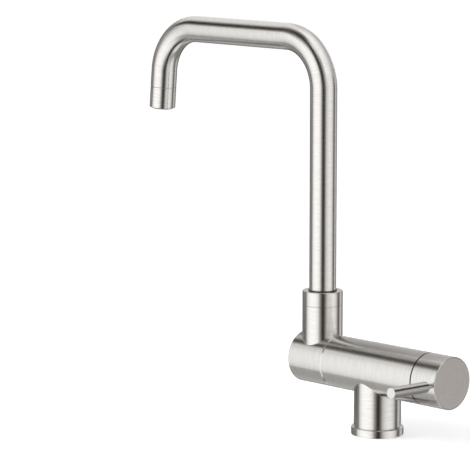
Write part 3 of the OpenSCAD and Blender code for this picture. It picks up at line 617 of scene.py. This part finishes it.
# Handle cap: a steel cup over the cartridge, as wide as the body, clamped on the stem by a grub
# screw from behind. Its rear rim is cut back on that side so that it can lift, and its end face
# is ground flat to a duller finish.
lever_up = math.radians(1.5)
pivot = joint_at["handle_lift"]
pivot_turn = Matrix.Rotation(-lever_up, 3, "X")
cap_seat = seat(pivot, (1, 0, 0), pivot_turn @ Vector((0, 1, 0)))
cap_rim = -6 * MM
cap_face = 22 * MM
cap_bore_r = 21 * MM
cap_floor = 11.8 * MM
face_edge = 0.6 * MM
face_flat_r = 22.8 * MM
before_hole = 12 * MM
after_hole = 19 * MM
grub_at = 15.7 * MM
grub_hole_r = 2.55 * MM
grub_hole_floor = 5 * MM
grub_hole_start = 21 * MM
cut_start = -7.343 * MM
full_lift = 20
cut_rise = math.tan(math.radians(full_lift))
rim_reach = 1 * MM
dull_tone = (0.72, 0.68, 0.655)
dull_steel = brushed_steel("dull_steel", dull_tone, roughness=0.44, spread=0.0, line_depth=0.003 * MM)
cap_inside = turned_profile([
    (cap_floor, 0, 0, 1), (cap_floor, cap_bore_r, crease, 1), (cap_rim, cap_bore_r, crease, 1),
    (cap_rim, barrel_r, rim_edge), (before_hole, barrel_r, 0)])
cap_outside = turned_profile([
    (after_hole, barrel_r, 0), (cap_face, barrel_r, face_edge), (cap_face, face_flat_r, 0)])
grub_bore = turned_profile([
    (grub_hole_start, grub_hole_r, 0, 1), (grub_hole_floor, grub_hole_r, crease, 1),
    (grub_hole_floor, 0, 0, 1)])
cap_skin = branched_bar(cap_seat, cap_inside, cap_outside, grub_at, grub_hole_r, seam_edge, grub_bore,
                        hole=True, cuts=32)
end_face = turned_profile([(cap_face, face_flat_r, 0, 2), (cap_face, 0, 0, 2)])
cap_skin.append(turned_patch(cap_seat, end_face))


def cut_back(patch):
    """Moves the rear rim forward on the side where the lifted cap would meet the body."""
    points, normals, grain, finish = patch
    local = np.array(cap_seat.inverted())
    spots = points @ local[:3, :3].T + local[:3, 3]
    shift = np.maximum(0, cut_start + cut_rise * spots[..., 0] - cap_rim)
    near_rim = spots[..., 2] < cap_rim + rim_reach
    points = points + np.where(near_rim, shift, 0)[..., None] * np.array([1, 0, 0])
    return points, normals, grain, finish


cap_skin[0] = cut_back(cap_skin[0])
# The cap's inside and grub screw hole take the near-black steel: painted shade.
welded("handle_cap_turned", cap_skin, [satin_steel, painted_shade_steel, dull_steel],
       "handle", "handle_cap")

# Lever: a straight pin with a thin neck, screwed into the cap. It is turned from bar, coned down
# to the neck, and its tip is faced flat.
lever_r = 5 * MM
neck_r = 2.3 * MM
lever_root = 6 * MM
lever_start = 28.4 * MM
lever_tip = 76.3 * MM
lever_cone = 2.6 * MM
lever_inset = 3.7 * MM
shoulder_edge = 0.8 * MM
lever_at = pivot + Vector((cap_face - lever_inset, 0, 0))
lever_seat = seat(lever_at, pivot_turn @ Vector((0, -1, 0)), (1, 0, 0))
lever_profile = turned_profile([
    (lever_root, 0, 0), (lever_root, neck_r, crease), (lever_start, neck_r, small_edge),
    (lever_start, lever_r - lever_cone, crease), (lever_start + lever_cone, lever_r, shoulder_edge),
    (lever_tip, lever_r, fine_edge), (lever_tip, 0, 0)])
welded("lever_pin_turned", [turned_patch(lever_seat, lever_profile, sides=64)], [satin_steel],
       "handle", "lever_pin")


# Cartridge: the ceramic valve inside the body, with its plastic shell, turret, slide and foot,
# two ceramic discs, a steel stem and pin, and the domed nut that shows in the cap's gap.
def covered(nodes, material):
    """Gives carried-over pieces their material."""
    for node in nodes:
        data = frame["nodes"][node].data
        data.materials.clear()
        data.materials.append(material)


def moulded(name, tone, roughness, flow_patches=60.0):
    """Moulded plastic with a faint flow in its colour and a fine grain."""
    material, tree = new_finish(name)
    flow = effect(tree, mottle, Patches_per_metre=flow_patches, Detail=3.0)
    grain = effect(tree, mottle, Patches_per_metre=2600.0, Detail=1.0)
    sway = 0.08
    shine = in_range(tree, flow, roughness - sway, roughness + sway)
    shaded(tree, two_tones(tree, flow, tone, 0.9, 1.06), shine, grain, depth=0.01 * MM)
    return material


def cast_metal(name, tone, roughness, depth):
    """Machined or plated metal that isn't brushed, with an uneven dull tone."""
    material, tree = new_finish(name)
    patch = effect(tree, mottle, Patches_per_metre=180.0, Detail=4.0)
    fine = effect(tree, mottle, Patches_per_metre=1500.0, Detail=2.0)
    sway = 0.1
    shine = in_range(tree, patch, roughness - sway, roughness + sway)
    shaded(tree, two_tones(tree, patch, tone, 0.84, 1.1), shine, fine, depth, Metallic=1.0)
    return material


white_plastic = moulded("white_plastic", (0.78, 0.78, 0.75), roughness=0.42)
grey_plastic = moulded("grey_plastic", (0.3, 0.31, 0.32), roughness=0.45)
ceramic = moulded("ceramic", (0.82, 0.8, 0.74), roughness=0.2, flow_patches=25.0)
dull_nickel = cast_metal("dull_nickel", (0.14, 0.135, 0.125), roughness=0.45, depth=0.004 * MM)
plain_stainless = cast_metal("plain_stainless", (0.55, 0.54, 0.52), roughness=0.32, depth=0.003 * MM)
covered(["cartridge_housing", "cartridge_base"], white_plastic)
covered(["cartridge_turret", "disc_carrier"], grey_plastic)
covered(["fixed_disc", "moving_disc"], ceramic)
covered(["stem", "pivot_pin", "grub_screw"], plain_stainless)
covered(["cartridge_nut"], dull_nickel)

# Hub fittings: the glide ring and slip washer of white plastic, the thrust washer and stop pin of
# steel, and the brass plug screw that holds the hub on the spigot.
brass = cast_metal("brass", (0.72, 0.5, 0.22), roughness=0.3, depth=0.004 * MM)
zinc_steel = cast_metal("zinc_steel", (0.58, 0.59, 0.6), roughness=0.4, depth=0.008 * MM)
covered(["tilt_glide_ring", "slip_washer"], white_plastic)
covered(["thrust_washer"], zinc_steel)
covered(["tilt_stop_pin"], plain_stainless)
covered(["hub_screw"], brass)

# Spout fittings: the brass foot soldered to the tube, the plastic bush and ring that it turns in,
# and the perforated insert in the outlet.
covered(["spout_bush"], brass)
covered(["swivel_thrust_ring"], white_plastic)
black_plastic = moulded("black_plastic", (0.035, 0.034, 0.033), roughness=0.38)
covered(["aerator_insert"], black_plastic)


# Seals: rings of black rubber in every joint that holds water, and under the base ring.
def rubber(name, tone):
    """Matt black rubber with a bloom and a fine moulded grain."""
    material, tree = new_finish(name)
    bloom = effect(tree, mottle, Patches_per_metre=90.0, Detail=4.0)
    grain = effect(tree, mottle, Patches_per_metre=3200.0, Detail=2.0)
    shine = in_range(tree, bloom, 0.62, 0.85)
    shaded(tree, two_tones(tree, bloom, tone, 0.8, 1.6), shine, grain, depth=0.015 * MM,
           Specular_IOR_Level=0.35)
    return material


# The same black rubber also colours the painted shade ring round the riser's foot, on the collar bush.
black_rubber = rubber("black_rubber", (0.022, 0.022, 0.023))
covered(["base_seal", "horseshoe_gasket", "port_seals", "spigot_seals", "screw_seal",
         "spout_seals", "aerator_seal"], black_rubber)

# Collar bush: the white plastic ring under the collar's rim that the riser turns in. A black ring on it
# stands out through the rim round the riser's foot: painted shade, a dark ring put where the riser's foot
# meets the collar.
bush_low, bush_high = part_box("collar_bush")
bush_bore_r = 12.56 * MM
shade_ring_neck_r = 12.74 * MM
shade_ring_r = 13.25 * MM
shade_ring_foot = collar_top + 0.05 * MM
shade_ring_top = collar_top + 0.85 * MM
shade_ring_taper = 0.15 * MM
bush_outer_r = (bush_high.x - bush_low.x) / 2
bush_profile = turned_profile([
    (bush_low.z, bush_outer_r, crease), (bush_high.z, bush_outer_r, crease),
    (bush_high.z, shade_ring_neck_r, crease, 1), (shade_ring_foot, shade_ring_neck_r, crease, 1),
    (shade_ring_foot, shade_ring_r, crease, 1), (shade_ring_top, shade_ring_r - shade_ring_taper, small_edge, 1),
    (shade_ring_top, bush_bore_r, crease, 1), (bush_low.z, bush_bore_r, crease)], closed=True)
# The ring's stretches take the black: painted shade round the riser's foot.
welded("collar_bush_with_shade_ring", [turned_patch(riser_seat, bush_profile)], [white_plastic, black_rubber],
       "hub", "collar_bush")

# Fixing set: the threaded brass stud, the plate and the nut that clamp the column to the worktop
# from below.
covered(["fixing_stud", "fixing_nut"], brass)
covered(["horseshoe_plate"], zinc_steel)


# Floor and surroundings: a plain pale floor with a hole for the stud, white all round and a soft
# lamp on the left. Cards round the object, seen by the steel only, give it its bright and dark
# lines.
def stage_mesh(name, spots, faces, material):
    """A stage object from points and faces."""
    mesh = bpy.data.meshes.new(name)
    mesh.from_pydata(spots, [], faces)
    mesh.materials.append(material)
    thing = bpy.data.objects.new(name, mesh)
    bpy.context.scene.collection.objects.link(thing)
    return thing


def seen_directly(tree):
    """1 for camera, glossy and transmission rays, and 0 for the rest."""
    path = tree.nodes.new("ShaderNodeLightPath")
    direct = reckon(tree, "MAXIMUM", path.outputs["Is Camera Ray"], path.outputs["Is Glossy Ray"])
    return reckon(tree, "MAXIMUM", direct, path.outputs["Is Transmission Ray"])


def pale_floor_finish():
    """A pale floor that is lifted to white where it is seen, and keeps the object's shadow."""
    material, tree = new_finish("pale_floor")
    lift = 0.5
    lifted = reckon(tree, "MULTIPLY", seen_directly(tree), lift)
    shader = shaded(tree, Base_Color=(0.8, 0.8, 0.8, 1), Roughness=0.9, Specular_IOR_Level=0.1,
                    Emission_Color=(1, 1, 1, 1))
    tree.links.new(lifted, shader.inputs["Emission Strength"])
    return material


floor_hole = 17.5 * MM
floor_reach = 7.0
floor_sides = 64
floor_spots, floor_faces = [], []
for k in range(floor_sides):
    turn = 2 * math.pi * k / floor_sides
    for radius in (floor_hole, floor_reach):
        floor_spots.append((radius * math.cos(turn), radius * math.sin(turn), 0))
    following = (k + 1) % floor_sides
    floor_faces.append((2 * k, 2 * k + 1, 2 * following + 1, 2 * following))
floor = stage_mesh("floor", floor_spots, floor_faces, pale_floor_finish())
floor.visible_glossy = False

world = bpy.data.worlds.new("white_surroundings")
bpy.context.scene.world = world
world.use_nodes = True
background = next(n for n in world.node_tree.nodes if n.type == "BACKGROUND")
background.inputs["Color"].default_value = (1, 1, 1, 1)
ambient = 0.6
lifted = reckon(world.node_tree, "MULTIPLY", seen_directly(world.node_tree), 1 - ambient)
world.node_tree.links.new(reckon(world.node_tree, "ADD", lifted, ambient), background.inputs["Strength"])

camera_turn = 46.02
camera_lift = 8.73


def glow(name, tones):
    """Light of a card, from its left edge to its right one, with a little warm light of the room.
    It shows on the card's inner side only."""
    material, tree = new_finish(name)
    tree.nodes.remove(next(n for n in tree.nodes if n.type == "BSDF_PRINCIPLED"))
    where = tree.nodes.new("ShaderNodeTexCoord")
    split = tree.nodes.new("ShaderNodeSeparateXYZ")
    tree.links.new(where.outputs["UV"], split.inputs[0])
    ramp = tree.nodes.new("ShaderNodeFloatCurve")
    curve = ramp.mapping.curves[0]
    brightest = 2
    for k, tone in enumerate(tones):
        at = k / (len(tones) - 1)
        if k in (0, len(tones) - 1):
            curve.points[0 if k == 0 else -1].location = (at, tone / brightest)
        else:
            curve.points.new(at, tone / brightest)
    ramp.mapping.update()
    tree.links.new(split.outputs["X"], ramp.inputs["Value"])
    light = tree.nodes.new("ShaderNodeEmission")
    tree.links.new(reckon(tree, "MULTIPLY", ramp.outputs[0], brightest), light.inputs["Strength"])
    room = tree.nodes.new("ShaderNodeEmission")
    room.inputs["Color"].default_value = (1, 0.55, 0, 1)
    room.inputs["Strength"].default_value = 0.018
    both = tree.nodes.new("ShaderNodeAddShader")
    tree.links.new(light.outputs[0], both.inputs[0])
    tree.links.new(room.outputs[0], both.inputs[1])
    side = tree.nodes.new("ShaderNodeNewGeometry")
    clear = tree.nodes.new("ShaderNodeBsdfTransparent")
    one_sided = tree.nodes.new("ShaderNodeMixShader")
    tree.links.new(side.outputs["Backfacing"], one_sided.inputs[0])
    tree.links.new(both.outputs[0], one_sided.inputs[1])
    tree.links.new(clear.outputs[0], one_sided.inputs[2])
    out = next(n for n in tree.nodes if n.type == "OUTPUT_MATERIAL")
    tree.links.new(one_sided.outputs[0], out.inputs["Surface"])
    return material


def around(turn, lift):
    """Direction by degrees to the right of the camera and degrees above level."""
    turn, lift = math.radians(camera_turn + turn), math.radians(lift)
    return Vector((math.sin(turn) * math.cos(lift), -math.cos(turn) * math.cos(lift), math.sin(lift)))


def bend_sees(facing, turn):
    """Direction that the spout's side reflects to the camera, at a turn round its bends. facing is
    measured from the side of the bends towards their outer side."""
    turn, facing = math.radians(turn), math.radians(facing)
    outer = Vector((math.cos(turn), 0, math.sin(turn)))
    side = Vector((0, -1, 0)) * math.cos(facing) + outer * math.sin(facing)
    eye = around(0, camera_lift)
    return 2 * side.dot(eye) * side - eye


def first_bend_line(off, turn):
    """As bend_sees, off the dark line that runs from the riser over the first bend. It goes from 46
    degrees to 35."""
    drift = math.tanh((turn - 50) / 14)
    return bend_sees(off + 40.5 - 5.5 * drift, turn)


def second_bend_line(off, turn):
    """As bend_sees, off the dark line that runs from the top tube's foot down to the outlet. It goes
    from 32.5 degrees to 49.5 on the bend's inner side."""
    drift = math.tanh((turn - 106) / 14)
    return bend_sees(off - 41 - 8.5 * drift, turn)


def level_bar_sees(front, facing, spread):
    """Direction that a brushed level bar reflects to the camera where its side faces this many
    degrees upwards. spread turns it within the fan that the brush lines give."""
    facing, spread = math.radians(facing), math.radians(spread)
    eye = around(0, camera_lift)
    side = Vector((0, 0, 1)) * math.cos(facing) - front * math.sin(facing)
    face = front * math.cos(facing) + Vector((0, 0, 1)) * math.sin(facing)
    share = -eye.dot(side)
    length = Vector((abs(front.y), abs(front.x), 0))
    fan = face * math.cos(spread) + length * math.sin(spread)
    return side * share + fan * math.sqrt(1 - share ** 2)


def over_the_top_tube(facing, shift):
    """As level_bar_sees, for the top tube, and moved along it, so that all of it sees it alike."""
    spread = -48
    return level_bar_sees(Vector((0, -1, 0)), facing, spread) + Vector((shift, 0, 0))


def canopy_sees(lean, turn):
    """Spot on a canopy behind the spout that rises backwards, from the body's middle. lean is from
    straight up to the back, turn is towards the spout's side."""
    height = 0.25
    slope = 0.1
    back = height * math.tan(math.radians(lean))
    rise = height + slope * back
    aside = math.hypot(back, rise) * math.tan(math.radians(turn))
    return Vector((-aside, back, rise))


def lever_sees(facing, spread):
    """As level_bar_sees, for the lever."""
    return level_bar_sees(Vector((1, 0, 0)), facing, spread)


def card(name, across, up, tones, distance=12.0, way=around, middle=Vector()):
    """A curved card round the object, bright or dark. The steel reflects it, and it throws no
    light or shadow. The tones run along the first pair of angles."""
    wide, tall = 28, 12
    spots, faces, share = [], [], []
    for i in range(tall + 1):
        for j in range(wide + 1):
            first = across[0] + (across[1] - across[0]) * j / wide
            second = up[0] + (up[1] - up[0]) * i / tall
            spots.append(way(first, second) * distance + middle)
            share.append(j / wide)
    for i in range(tall):
        for j in range(wide):
            at = i * (wide + 1) + j
            faces.append((at, at + 1, at + wide + 2, at + wide + 1))
    thing = stage_mesh(name, spots, faces, glow(name, tones))
    face = thing.data.polygons[0]
    if face.normal.dot(face.center - middle) > 0:
        thing.data.flip_normals()
    layer = thing.data.uv_layers.new(name="UVMap")
    for loop in thing.data.loops:
        layer.data[loop.index].uv = (share[loop.vertex_index], 0)
    thing.visible_camera = thing.visible_diffuse = thing.visible_shadow = False
    thing.visible_transmission = thing.visible_volume_scatter = False


wall_distance = 12.4
low_distance = 12.6
card("left_softbox", (-106, -28), (-33, 34), [0.5, 1.12, 1.3, 1.34, 1.28, 1.05])
card("left_low_softbox", (-90, -28), (-60, -33), [0.7, 1.2, 1.25, 1.05])
card("camera_flag", (-28, 38), (-45, 50), [1.05, 0.3, 0.0, 0.14, 0.68, 0.92])
card("right_screen", (38, 92), (-52, 36), [0.92, 1.06, 1.04, 0.85, 0.4])
card("right_flag", (92, 112), (-40, 24), [0.4, 0.1, 0.1, 0.36])
card("back_right_screen", (112, 180), (-30, 2), [0.36, 0.68, 0.35, 0.1, 0.05, 0.05])
card("back_left_screen", (-180, -106), (-30, 2), [0.05, 0.05, 0.1, 0.22, 0.34, 0.18, 0.36])
card("back_left_mid_screen", (-162, -106), (2, 26), [0.3, 0.2, 0.3, 0.32, 0.42])
card("back_left_low_wall", (-180, -162), (2, 26), [0.95, 0.85, 0.4])
card("back_right_low_wall", (112, 180), (2, 20), [0.6, 0.7, 0.9, 0.95], wall_distance)
card("back_right_wall", (112, 180), (20, 75), [0.75, 0.7, 0.6, 0.7], wall_distance)
card("back_left_wall", (-180, -106), (26, 75), [0.9, 0.9, 0.85, 0.6], wall_distance)
card("right_top_wall", (45, 112), (24, 75), [0.95, 0.9, 0.85, 0.75], wall_distance)
card("front_top_wall", (-106, 45), (52, 75), [1.0, 1.1, 1.0, 0.95], wall_distance)
card("ceiling", (-180, 180), (75, 90), [1.1, 1.1], wall_distance)
tube_middle = Vector(((riser_x + cross_x) / 2, 0, top_z))
card("top_flag", (23.5, 51.5), (-0.9, 0.9), [0.95, 0.22, 0, 0, 0.2, 0.75],
     distance=0.82, way=over_the_top_tube, middle=tube_middle)
first_middle = Vector((riser_x - bend_r, 0, top_z - bend_r))
first_tones = [0.7, 0.08, 0.0, 0.1, 0.7]
card("first_bend_flag", (-9, 9), (8, 62), first_tones,
     distance=4.0, way=first_bend_line, middle=first_middle)
card("first_bend_near_flag", (-9, 9), (58, 79), first_tones,
     distance=0.7, way=first_bend_line, middle=first_middle)
card("bend_screen", (60, 104), (14, 62), [1.1, 1.15, 1.0, 0.72, 0.5, 0.45],
     distance=0.3, way=bend_sees, middle=first_middle)
second_middle = Vector((cross_x + setback, 0, top_z - bend_r))
second_tones = [0.6, 0.03, 0.0, 0.6]
card("second_bend_flag", (-7, 6), (116, 168), second_tones,
     distance=3.0, way=second_bend_line, middle=second_middle)
card("second_bend_near_flag", (-7, 6), (92, 118), second_tones,
     distance=0.4, way=second_bend_line, middle=second_middle)
card("lever_flag", (16, 42), (10, 85), [0.5, 0.05, 0.02, 0.05, 0.5], distance=11.4, way=lever_sees)
card("lower_card", (-180, 180), (-70, -30), [0.6, 0.42, 0.38, 0.38, 0.3, 0.22, 0.35], low_distance)
card("lowest_card", (-180, 180), (-90, -70), [1.0, 1.0], low_distance)
body_middle = Vector((30 * MM, 0, axis_z + 20 * MM))
card("canopy", (12, 84), (31, 86), [0.07, 0.32, 0.44, 0.5],
     distance=1.0, way=canopy_sees, middle=body_middle)

lamp_data = bpy.data.lights.new("soft_lamp", "AREA")
lamp_data.shape = "RECTANGLE"
lamp_data.size = 1.6
lamp_data.size_y = 1.2
lamp_data.energy = 26
lamp = bpy.data.objects.new("soft_lamp", lamp_data)
lamp_at = Vector((-1.5, -1.4, 1.5))
lamp_aim = Vector((-0.1, 0, 0.15))
lamp.location = lamp_at
lamp.rotation_euler = (lamp_aim - lamp_at).to_track_quat("-Z", "Y").to_euler()
lamp.visible_glossy = False
bpy.context.scene.collection.objects.link(lamp)

# Camera: the photograph's place, found from the object's edges and circles there. It has a long
# lens and stands a little above the object and to its right.
camera_at = Vector((1.63283, -1.75724, 0.55178))
looked_at = Vector((-0.18798, 0, 0.16315))
camera_data = bpy.data.cameras.new("camera")
camera_data.lens = 204.62
camera_data.sensor_width = 36
camera = bpy.data.objects.new("camera", camera_data)
camera.location = camera_at
camera.rotation_euler = (looked_at - camera_at).to_track_quat("-Z", "Y").to_euler()
bpy.context.scene.collection.objects.link(camera)
bpy.context.scene.camera = camera
bpy.context.scene.view_settings.view_transform = "Standard"
